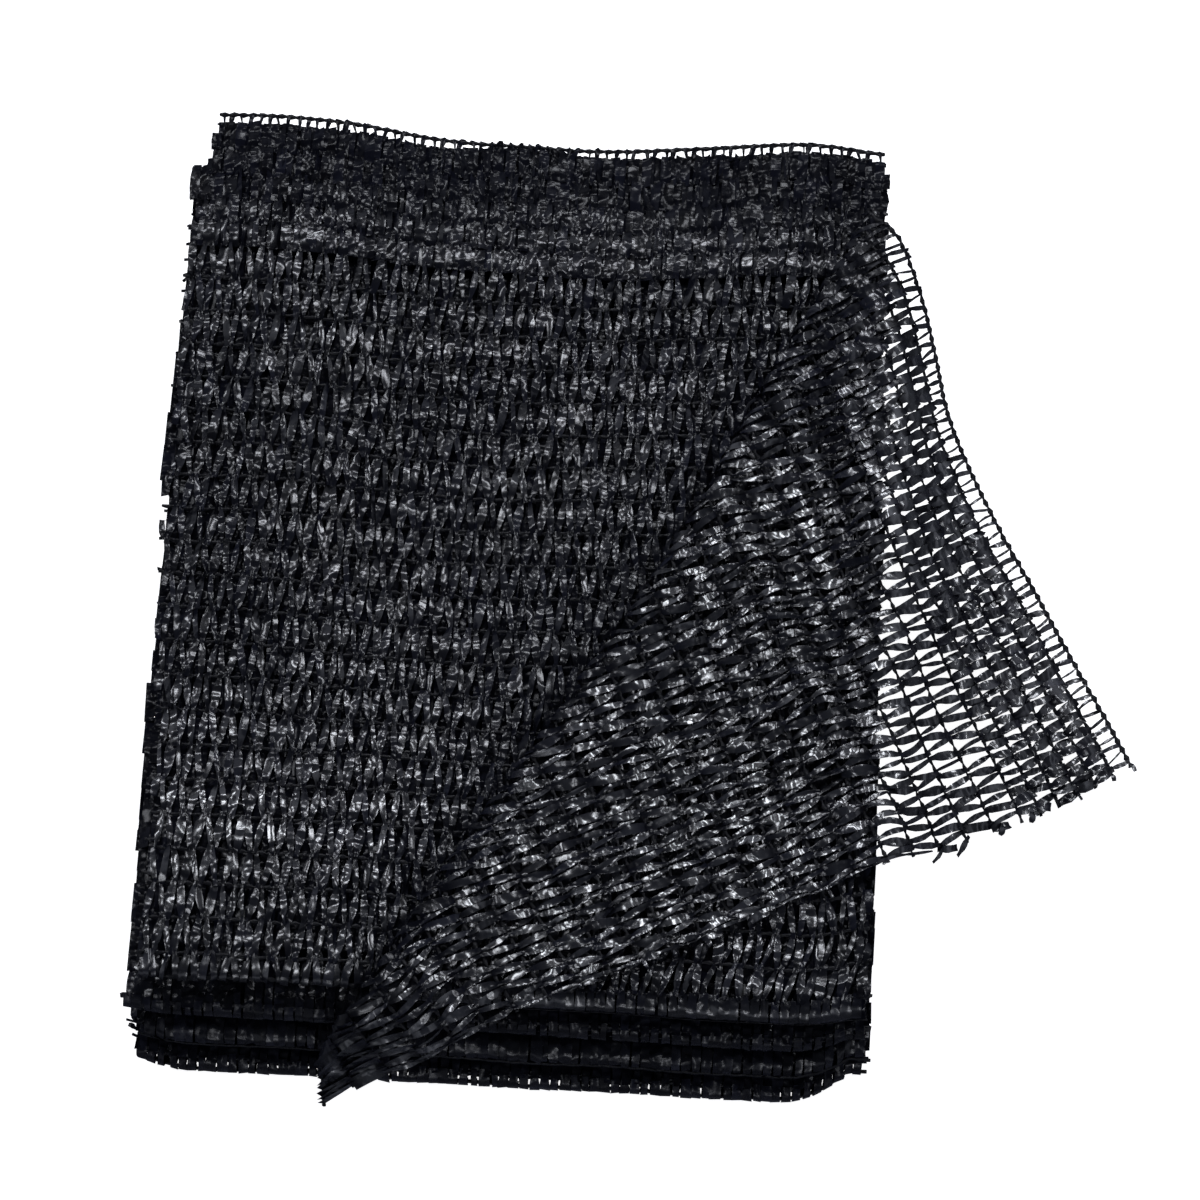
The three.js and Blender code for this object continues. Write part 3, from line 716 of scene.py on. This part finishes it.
def lay_tapes(mesh, place, legs, along, across, rng):
    """Lays flat tapes on the net, each from (v0, c0) to (v1, c1). legs has these and the rest
    of how each lies; pinch is the share of its width that a chain leaves at its end."""
    n = len(legs["v0"])
    if not n:
        return
    legs = {key: value[:, None] for key, value in legs.items()}
    t = np.linspace(0, 1, along + 1)[None, :]
    middle = np.sin(math.pi * t)
    v = lerp(legs["v0"], legs["v1"], t)
    c = lerp(legs["c0"], legs["c1"], t) + legs["sway"] * middle
    centre, normal = place.frame(v, c, legs["bulge"] * middle + legs["rest"])
    tangent = unit(np.gradient(centre, axis=1))
    side = unit(np.cross(normal, tangent))
    up = unit(np.cross(tangent, side))
    turn = legs["tilt"] + legs["twist"] * (t - 0.5) * 2
    across_dir = side * np.cos(turn)[..., None] + up * np.sin(turn)[..., None]
    crown_dir = np.cross(tangent, across_dir)
    start = np.maximum(legs["pinch0"], clamp(t / legs["ease"]) ** PINCH_CURVE)
    end = np.maximum(legs["pinch1"], clamp((1 - t) / legs["ease"]) ** PINCH_CURVE)
    width = legs["width"] * np.minimum(start, end) / 2
    if along == 1:
        width = legs["width"] / 2 * np.ones((1, 2))
    edge = np.linspace(-1, 1, across + 1)
    crown = legs["crown"][..., None] * width[..., None] * (1 - edge**2)[None, None, :]
    p = (
        centre[:, :, None, :]
        + across_dir[:, :, None, :] * (width[..., None] * edge)[..., None]
        + crown_dir[:, :, None, :] * crown[..., None]
    )
    number = rng.random(n)[:, None, None]
    length = np.linalg.norm(centre[:, -1] - centre[:, 0], axis=-1)
    from_start = (t * length[:, None])[..., None]
    from_middle = legs["width"][..., None] / 2 * edge
    uv = np.empty(p.shape[:3] + (2,))
    uv[..., 0] = number * UV_SPREAD[0] + from_start * MM * UV_PER_METRE
    uv[..., 1] = number * UV_SPREAD[1] + from_middle * MM * UV_PER_METRE
    # Painted highlight in the middle of each tape, painted shade towards the chains.
    least, more, sharpness = DASH_CORNER if place.surface is TURNED else DASH
    shine = place.painted_sheen(v, c, centre) * (least + more * middle**sharpness)
    mesh.grid(p, uv, shine * rng.uniform(*TAPE_SHINE, n)[:, None])


def random_legs(rng, n, width):
    """How n tapes lie between two chains, each a little differently."""
    return {
        "width": width * rng.normal(*WIDTH, n).clip(*WIDTH_LIMITS),
        "tilt": np.radians(rng.normal(*TILT, n)),
        "twist": np.radians(rng.normal(*TWIST, n)),
        "bulge": rng.normal(*BULGE, n).clip(*BULGE_LIMITS),
        "rest": rng.normal(*REST, n),
        "sway": rng.normal(*SWAY, n),
        "crown": rng.normal(*CROWN, n).clip(*CROWN_LIMITS),
        "ease": rng.uniform(*EASE_RANGE, n),
        "pinch0": np.full(n, FREE_PINCH),
        "pinch1": np.full(n, FREE_PINCH),
    }


def crosses_turn(i, least):
    """Whether the gap after chain i runs over a turn of more than this radius."""
    return any(
        part["turn"]["radius"] > least
        and part["at"] < WALES[i + 1] and WALES[i] < part["at"] + part["length"]
        for part in PARTS if "turn" in part
    )


def layer_of_gap(i):
    """The layer that the middle of the gap after chain i lies in; None on a turn."""
    middle = (WALES[i] + WALES[i + 1]) / 2
    n = np.clip(np.searchsorted(STARTS, middle) - 1, 0, len(PARTS) - 1)
    return PARTS[int(n)].get("layer")


def gap_kind(i, at_tip):
    """How the gap after chain i is filled: a ladder and a dense band at each selvedge. The band
    at the back and the drawn-in tip lie closed."""
    from_edge = min(i, GAPS - 1 - i)
    kind = "ladder" if from_edge == 0 else "dense" if from_edge < SELVEDGE_WALES else "body"
    if at_tip or (kind == "dense" and i > GAPS / 2):
        return "closed"
    return kind


def tapes_of_gap(i, courses, rng, pressed, kind):
    """The tapes between the chains i and i + 1 at each course: one leg to the next chain and
    one back in a zigzag, or two or three that lie side by side."""
    n = len(courses)
    c = courses * COURSE + drift(WALES[i]) + COURSE / 2 * (i % 2)
    taut = pressed and crosses_turn(i, PITCH)
    inside_stack = layer_of_gap(i) not in (None, 1, 2, LAYERS)
    filled = taut or (pressed and inside_stack)
    widths = TAPE["filled" if filled else kind]
    near, uneven_by = (COURSE / 4, 0.0) if filled else BEND[kind]
    sets = []
    for way, width in zip(WAYS, widths):
        legs = random_legs(rng, n, width)
        legs["v0"] = WALES[i] - OVERSHOOT * rng.uniform(*OVERSHOOT_RANGE, n)
        legs["v1"] = WALES[i + 1] + OVERSHOOT * rng.uniform(*OVERSHOOT_RANGE, n)
        start, end = (rng.normal(near, uneven_by, n).clip(*BEND_LIMITS) for _ in range(2))
        legs["c0"] = c + way * start
        legs["c1"] = c + way * (COURSE / 2 - end)
        if kind == "closed":
            for key in ("c0", "c1"):
                legs[key] = c + way * COURSE / 3 + rng.normal(0, CLOSED_UNEVEN, n)
            legs["width"] = np.full(n, width)
            legs["sway"] = legs["sway"] * CLOSED_SWAY
        legs["pinch0"] = rng.uniform(*PINCH[kind], n)
        legs["pinch1"] = rng.uniform(*PINCH[kind], n)
        if taut:
            for key, share in TAUT.items():
                legs[key] = legs[key] * share
            legs["pinch0"] = legs["pinch1"] = np.full(n, TAUT_PINCH)
        sets.append(legs)
    return {key: np.concatenate([s[key] for s in sets]) for key in sets[0]}


def trimmed(legs, place, keep_from=None):
    """Cuts the tapes at the net's cut ends, and drops those that lie wholly past them."""
    first0, last0 = place.surface.ends(legs["v0"])
    first1, last1 = place.surface.ends(legs["v1"])
    if keep_from is not None:
        first0, first1 = np.maximum(first0, keep_from), np.maximum(first1, keep_from)
    inside0 = (legs["c0"] > first0) & (legs["c0"] < last0)
    inside1 = (legs["c1"] > first1) & (legs["c1"] < last1)
    keep = inside0 | inside1
    legs = {key: value[keep].copy() for key, value in legs.items()}
    only0, only1 = (inside0 & ~inside1)[keep], (inside1 & ~inside0)[keep]
    for only, kept, cut in ((only0, "0", "1"), (only1, "1", "0")):
        for key in "vc":
            ends = legs[key + kept][only], legs[key + cut][only]
            legs[key + cut][only] = lerp(*ends, CUT_SHARE)
        legs["pinch" + cut][only] = CUT_PINCH
    return legs


def lay_chain(mesh, place, v, c_first, c_last, radius, sides, steps):
    """One pillar stitch chain along a row: a thin cord with a bead at every stitch."""
    count = max(2, int(round((c_last - c_first) / COURSE * steps)) + 1)
    c = np.linspace(c_first, c_last, count)
    stitch = np.cos(2 * math.pi * 2 * c / COURSE)
    snaking = v + CHAIN_SNAKE * np.cos(2 * math.pi * c / COURSE + v)
    centre, normal = place.frame(snaking, c, CHAIN_OFFSET)
    tangent = unit(np.gradient(centre, axis=0))
    side = unit(np.cross(normal, tangent))
    up = CHAIN_FLATNESS * np.cross(tangent, side)
    angle = np.linspace(0, 2 * math.pi, sides + 1)
    r = radius * (1 + CHAIN_BEAD * stitch) if steps > 1 else np.full(count, radius)
    cos, sin = np.cos(angle)[None, :, None], np.sin(angle)[None, :, None]
    p = centre[:, None] + (side[:, None] * cos + up[:, None] * sin) * r[:, None, None]
    along, around = (c * MM * UV_PER_METRE)[:, None], (angle / (2 * math.pi))[None, :]
    uv = np.stack(np.broadcast_arrays(along, around), axis=-1)
    mesh.grid(p[None], uv[None], np.full((1, count), CHAIN_SHINE), finish=CHAIN_SLOT)


def frayed_ends(mesh, place, rng, rows, at_first, share, length):
    """Short loose ends of tape that stand out of a cut end at some of the chains."""
    rows = np.asarray(rows)[rng.random(len(rows)) < share]
    if not len(rows):
        return
    first, last = place.surface.ends(rows)
    n = len(rows)
    out = -1.0 if at_first else 1.0
    legs = random_legs(rng, n, FRAY_WIDTH)
    size = length * rng.uniform(*FRAY_RANGE, n)
    angle = rng.normal(0, FRAY_TURN, n)
    legs["v0"], legs["c0"] = rows, np.where(at_first, first, last) - out * FRAY_START
    legs["v1"] = rows + size * np.sin(angle)
    legs["c1"] = legs["c0"] + out * size * np.cos(angle)
    legs["bulge"] = rng.normal(0, FRAY_BULGE, n)
    legs["pinch0"], legs["pinch1"] = (np.full(n, pinch) for pinch in FRAY_PINCH)
    lay_tapes(mesh, place, legs, 3, 1, rng)


def knit(place, gaps, detail, seed, c_from=None):
    """Knits a stretch of the net. detail(i) gives the divisions of a tape along and across,
    and the sides and steps of a chain, in the gap after chain i. c_from(v) is where the row at
    v begins, where that isn't its cut end."""
    mesh = Mesh()
    rng = np.random.default_rng(SEED + seed)
    for i in gaps:
        along, across = detail(i)[:2]
        first, last = place.surface.ends(np.array([WALES[i], WALES[i + 1]]))
        keep_from = None if c_from is None else c_from(WALES[i])
        low = first.min() if c_from is None else max(first.min(), keep_from)
        courses = np.arange(math.floor(low / COURSE) - 1, math.ceil(last.max() / COURSE) + 2)
        at_tip = place.surface is TURNED and WALES[i] > TIP - TIP_LENGTH
        legs = tapes_of_gap(i, courses, rng, place.pressed, gap_kind(i, at_tip))
        lay_tapes(mesh, place, trimmed(legs, place, keep_from), along, across, rng)
    for i in sorted({*gaps, gaps[-1] + 1}):
        sides, steps = detail(min(i, gaps[-1]))[2:]
        first, last = place.surface.ends(np.array([WALES[i]]))
        c_first = first[0] if c_from is None else max(first[0], c_from(WALES[i]))
        if last[0] - c_first < SHORTEST_CHAIN:
            continue
        radius = EDGE_CHAIN_RADIUS if i in (0, GAPS) else CHAIN_RADIUS
        c_start = c_first - rng.uniform(0, CHAIN_TAIL)
        c_end = last[0] + rng.uniform(0, CHAIN_TAIL)
        lay_chain(mesh, place, WALES[i], c_start, c_end, radius, sides, steps)
    return mesh


def fine(_):
    return 6, 2, 5, 4


def inner_detail(i):
    """Plain strips where no side shows the net, and more divisions round the folds."""
    if crosses_turn(i, PITCH):
        return 6, 1, 4, 2
    if crosses_turn(i, 0):
        return 4, 1, 3, 1
    if layer_of_gap(i) == LAYERS:
        return 3, 1, 3, 2
    return 1, 1, 3, 1


# -------- the three pieces of the net
SECOND_BEFORE = 14  # the second layer's piece starts this far before its fold is over
FRONT_MARGIN, TIP_MARGIN = 0.01, 0.5
TIP_PAST_ROLL = 3.0  # where the tip's tapes begin, past the start of the roll

second_first = PARTS[-1]["at"] - SECOND_BEFORE
turned_gaps = [i for i in range(GAPS) if WALES[i + 1] <= FRONT + FRONT_MARGIN]
tip_gaps = [i for i in range(GAPS) if FRONT + FRONT_MARGIN < WALES[i + 1] <= TIP + TIP_MARGIN]
second_gaps = [i for i in range(GAPS) if WALES[i] >= second_first]
inner_gaps = [i for i in range(GAPS) if i > turned_gaps[-1] and WALES[i] < second_first]

turned_place = Place(TURNED, 0.25)
inner_place = Place(PLAIN, 0.12, pressed=True)
second_place = Place(PLAIN, 0.4, squeeze=2.8)


def tip_from(v):
    return float(TURNED.read(v, TURNED.roll_start)) + TIP_PAST_ROLL


turned_mesh = knit(turned_place, turned_gaps, fine, seed=1)
tip_mesh = knit(turned_place, tip_gaps, fine, seed=2, c_from=tip_from)
second_mesh = knit(second_place, second_gaps, fine, seed=3)
inner_mesh = knit(inner_place, inner_gaps, inner_detail, seed=4)

# Loose tape ends stand out of the corner's cut end, and a thread of pulled tape runs along it.
LOOSE_ENDS = [(50.0, 5.4, 2.6), (58.0, 5.2, 2.4), (40.0, 2.0, 1.6), (31.0, 1.5, 1.4)]  # v, on, out
LOOSE_WIDTH, LOOSE_START = 1.7, 0.8
THREAD_LEGS, THREAD_LENGTH, THREAD_WIDTH = 17, 9.4, 0.7
THREAD_FROM, THREAD_SHORT_OF_TIP = 62.0, 30
THREAD_PLACE = (-0.6, 0.2)  # off the cut end, and how unevenly


def lay_loose_ends(mesh, rng):
    legs = random_legs(rng, len(LOOSE_ENDS), LOOSE_WIDTH)
    legs["v0"], on, out = np.array(LOOSE_ENDS).T
    legs["v1"] = legs["v0"] + on
    legs["c0"] = np.full(len(out), FLAP_END - LOOSE_START)
    legs["c1"] = FLAP_END + out
    lay_tapes(mesh, turned_place, legs, 5, 1, rng)


def lay_thread(mesh, rng):
    legs = random_legs(rng, THREAD_LEGS, THREAD_WIDTH)
    legs["v0"] = np.linspace(THREAD_FROM, TIP - THREAD_SHORT_OF_TIP, THREAD_LEGS)
    legs["v1"] = legs["v0"] + THREAD_LENGTH
    legs["c0"] = legs["c1"] = FLAP_END + rng.normal(*THREAD_PLACE, THREAD_LEGS)
    lay_tapes(mesh, turned_place, legs, 4, 1, rng)


rng = np.random.default_rng(SEED + 9)
lay_loose_ends(turned_mesh, rng)
lay_thread(turned_mesh, rng)
# For each cut end: whether it is the right one, the share of its chains that fray, how far.
for mesh, place, gaps, ends in (
    (turned_mesh, turned_place, turned_gaps, [(False, 0.4, 2.4), (True, 0.3, 2.0)]),
    (second_mesh, second_place, second_gaps, [(False, 0.3, 2.0), (True, 0.25, 1.6)]),
    (inner_mesh, inner_place, inner_gaps, [(False, 0.12, 2.0), (True, 0.1, 1.8)]),
):
    for at_first, share, length in ends:
        frayed_ends(mesh, place, rng, WALES[gaps], at_first, share, length)
turned_mesh.take(tip_mesh)


# -------- finishes
def colour(code):
    """An sRGB hex value, as the linear colour that a shader takes."""
    parts = [int(code[i:i + 2], 16) / 255 for i in (1, 3, 5)]
    return (*(p / 12.92 if p <= 0.04045 else ((p + 0.055) / 1.055) ** 2.4 for p in parts), 1.0)


def add_node(tree, kind, values=None, links=None, **settings):
    """Adds a node with the values of its inputs, the links into them and its settings."""
    node = tree.nodes.new("ShaderNode" + kind)
    for key, value in settings.items():
        setattr(node, key, value)
    for key, value in (values or {}).items():
        node.inputs[key].default_value = value
    for key, (source, output) in (links or {}).items():
        tree.links.new(source.outputs[output], node.inputs[key])
    return node


def add_noise(tree, uv, scale, **values):
    """Noise over the tape's own UVs, stretched by scale along and across the tape."""
    stretched = add_node(tree, "Mapping", {"Scale": (*scale, 1.0)}, {"Vector": (uv, "UV")})
    return add_node(
        tree, "TexNoise", {"Scale": 1.0, **values}, {"Vector": (stretched, "Vector")},
    )


def object_noise(tree, scale, detail):
    """Noise over the object's own coordinates."""
    place = add_node(tree, "TexCoord")
    return add_node(
        tree, "TexNoise", {"Scale": scale, "Detail": detail}, {"Vector": (place, "Object")},
    )


def add_ramp(tree, source, output, stops):
    """A colour ramp over a value, from (place, sRGB hex) stops."""
    node = add_node(tree, "ValToRGB", links={"Fac": (source, output)})
    ramp = node.color_ramp
    while len(ramp.elements) < len(stops):
        ramp.elements.new(0.5)
    for element, (at, code) in zip(ramp.elements, stops):
        element.position = at
        element.color = colour(code)
    return node


def add_range(tree, source, output, start, end, values=(0.0, 1.0)):
    """Maps a value between start and end to the given values."""
    return add_node(
        tree, "MapRange",
        {"From Min": start, "From Max": end, "To Min": values[0], "To Max": values[1]},
        {"Value": (source, output)},
    )


def new_material(name):
    material = bpy.data.materials.new(name)
    material.use_nodes = True
    material.node_tree.nodes.clear()
    return material, material.node_tree


def add_output(tree, shader):
    add_node(tree, "OutputMaterial", links={"Surface": (shader, "BSDF")})


# The scales of the noises, along and across the tape, where 1 repeats about every 10 mm.
DRAWN_SCALE = (0.8, 0.8)  # patches where the film is stretched more
DIE_LINE_SCALE, DIE_LINE_STRENGTH, DIE_LINE_BUMP = (5.0, 60.0), 0.06, 0.0001
CREASE_SCALE, CREASE_BUMP = (4.8, 3.6), 0.00115
CREASE_PATCH_SCALE = 25.0  # to the metre: patches of deeper and shallower creases
STRAND_SCALE, STRAND_STRENGTH, STRAND_BUMP = (22.0, 3.0), 0.6, 0.0003
# How far the painted highlight and shade set the weight of the tapes' glossy coat.
PAINTED_SHEEN_TO_COAT = 0.52


def tape_finish():
    """Black high density polyethylene film, slit to flat tape and drawn hot: smooth and
    glossy, with fine lines along it from the die, and paler where it is stretched."""
    material, tree = new_material("black_slit_polyethylene_tape")
    uv = add_node(tree, "UVMap", uv_map="tape_uv")
    # The painted highlight and shade of each vertex.
    painted_sheen = add_node(tree, "Attribute", attribute_name="painted_sheen")
    level = add_node(
        tree, "Math", {1: PAINTED_SHEEN_TO_COAT}, {0: (painted_sheen, "Fac")}, operation="MULTIPLY",
    )
    drawn = add_noise(tree, uv, DRAWN_SCALE, Detail=1.0)
    shade = add_ramp(
        tree, drawn, "Fac",
        [(0.3, "#07070b"), (0.5, "#0c0d14"), (0.65, "#12131c"), (0.8, "#191b26")],
    )
    lines = add_noise(tree, uv, DIE_LINE_SCALE, Detail=3.0, Roughness=0.6)
    # Creases across the tape where it was pulled into the stitch.
    creases = add_noise(tree, uv, CREASE_SCALE, Detail=0.0)
    gloss = add_range(tree, lines, "Fac", 0.3, 0.7, (0.14, 0.3))
    patches = object_noise(tree, CREASE_PATCH_SCALE, 1.0)
    depth = add_range(tree, patches, "Fac", 0.35, 0.6, (0.6, 1.0))
    coarse_bump = add_node(
        tree, "Bump", {"Distance": CREASE_BUMP},
        {"Height": (creases, "Fac"), "Strength": (depth, "Result")},
    )
    fine_bump = add_node(
        tree, "Bump", {"Strength": DIE_LINE_STRENGTH, "Distance": DIE_LINE_BUMP},
        {"Height": (lines, "Fac"), "Normal": (coarse_bump, "Normal")},
    )
    # The drawn film has a glossy skin, whose weight carries the painted highlight and painted
    # shade: strong in painted highlights, dulled in the painted shadow of the turn and in creases.
    shader = add_node(
        tree, "BsdfPrincipled",
        {
            "Metallic": 0.0, "IOR": 1.53, "Specular IOR Level": 0.08,
            "Coat IOR": 1.8, "Coat Roughness": 0.25,
        },
        {
            "Base Color": (shade, "Color"), "Roughness": (gloss, "Result"),
            "Normal": (fine_bump, "Normal"), "Coat Weight": (level, "Value"),
            "Coat Normal": (fine_bump, "Normal"),
        },
    )
    add_output(tree, shader)
    return material


def chain_finish():
    """Pillar stitch chains of the same black polyethylene: the loops are drawn tight, so they
    shine less than the flat tapes, and their strands run round the chain."""
    material, tree = new_material("black_polyethylene_stitch_chain")
    uv = add_node(tree, "UVMap", uv_map="tape_uv")
    strands = add_noise(tree, uv, STRAND_SCALE, Detail=2.0, Distortion=0.8)
    shade = add_ramp(tree, strands, "Fac", [(0.25, "#050508"), (0.75, "#0d0e15")])
    bump = add_node(
        tree, "Bump", {"Strength": STRAND_STRENGTH, "Distance": STRAND_BUMP},
        {"Height": (strands, "Fac")},
    )
    shader = add_node(
        tree, "BsdfPrincipled",
        {"Metallic": 0.0, "IOR": 1.5, "Roughness": 0.38, "Specular IOR Level": 0.25},
        {"Base Color": (shade, "Color"), "Normal": (bump, "Normal")},
    )
    add_output(tree, shader)
    return material


finishes = [tape_finish(), chain_finish()]  # TAPE_SLOT, CHAIN_SLOT


def make_piece(name, mesh):
    piece = mesh.make(name)
    for finish in finishes:
        piece.data.materials.append(finish)
    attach(piece, "root")
    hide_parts("net")
    return piece


turned = make_piece("turned_back_layer", turned_mesh)
second_piece = make_piece("second_layer", second_mesh)
folded = make_piece("folded_layers", inner_mesh)


# -------- floor, light and camera
FLOOR_SIZE = 6.0
FLOOR_GLOW = 1.0  # a light table: the paper on it is lit from below as well
PAPER_GRAIN = 900.0  # to the metre
SOFTBOXES = [  # name, place and side in metres, and how bright the face is
    ("behind", (-0.1, 0.85, 1.9), 0.42, 13.5),
    ("left", (-1.4, 0.6, 1.4), 0.42, 15),
    ("low_behind", (0.2, 1.9, 1.3), 0.5, 15.5),
    ("right", (1.4, 0.9, 1.7), 0.4, 13.5),
    ("front", (0.3, -2.2, 0.9), 0.5, 5),
    ("high_front", (0.3, -1.7, 1.6), 0.4, 5),
]
ROOM = [  # from straight below (0) over the horizon (0.5) to straight above (1)
    (0.0, "#44474e"), (0.5, "#44474e"), (0.53, "#9599a4"), (0.68, "#9599a4"),
    (0.8, "#3d4048"), (1.0, "#3a3d45"),
]
CAMERA_TARGET = (-0.0110, 0.0055, 0.020)
CAMERA_AZIMUTH, CAMERA_ELEVATION, CAMERA_DISTANCE = 3.75, 67.0, 1.5
CAMERA_SENSOR, CAMERA_LENS = 36.0, 191.25


def studio_floor():
    bpy.ops.object.select_all(action="DESELECT")
    bpy.ops.mesh.primitive_plane_add(size=FLOOR_SIZE, location=(0, 0, 0))
    floor = bpy.context.object
    floor.name = "floor"
    material, tree = new_material("matt_white_paper")
    grain = object_noise(tree, PAPER_GRAIN, 2.0)
    tone = add_ramp(tree, grain, "Fac", [(0.0, "#f2f2f2"), (1.0, "#f8f8f8")])
    shader = add_node(
        tree, "BsdfPrincipled",
        {"Roughness": 0.95, "Emission Strength": FLOOR_GLOW},
        {"Base Color": (tone, "Color"), "Emission Color": (tone, "Color")},
    )
    add_output(tree, shader)
    floor.data.materials.append(material)
    floor.visible_glossy = False


def add_object(name, data, place, back):
    """Adds an object at a place, looking away from the direction back."""
    thing = bpy.data.objects.new(name, data)
    thing.location = place
    thing.rotation_euler = back.to_track_quat("Z", "Y").to_euler()
    bpy.context.scene.collection.objects.link(thing)
    return thing


def area_light(name, place, size, radiance):
    """A square softbox aimed at the net."""
    name = "softbox_" + name
    data = bpy.data.lights.new(name, "AREA")
    data.shape = "SQUARE"
    data.size = size
    data.energy = radiance * math.pi * size**2
    data.color = colour("#f4f7ff")[:3]
    add_object(name, data, place, Vector(place))


def studio_light():
    """A dim room over the table, paler just above the horizon, and six softboxes."""
    world = bpy.data.worlds.new("studio")
    bpy.context.scene.world = world
    world.use_nodes = True
    world.node_tree.nodes.clear()
    tree = world.node_tree
    way = add_node(tree, "TexCoord")
    split = add_node(tree, "SeparateXYZ", links={"Vector": (way, "Generated")})
    height = add_range(tree, split, "Z", -1.0, 1.0)
    glow = add_ramp(tree, height, "Result", ROOM)
    sky = add_node(tree, "Background", links={"Color": (glow, "Color")})
    add_node(tree, "OutputWorld", links={"Surface": (sky, "Background")})
    for softbox in SOFTBOXES:
        area_light(*softbox)
    bpy.context.scene.view_settings.view_transform = "Standard"


def photo_camera():
    azimuth, elevation = math.radians(CAMERA_AZIMUTH), math.radians(CAMERA_ELEVATION)
    back = Vector((
        math.sin(azimuth) * math.cos(elevation),
        -math.cos(azimuth) * math.cos(elevation),
        math.sin(elevation),
    ))
    data = bpy.data.cameras.new("photo_camera")
    data.sensor_width = CAMERA_SENSOR
    data.lens = CAMERA_LENS
    place = Vector(CAMERA_TARGET) + back * CAMERA_DISTANCE
    bpy.context.scene.camera = add_object("photo_camera", data, place, back)


studio_floor()
studio_light()
photo_camera()
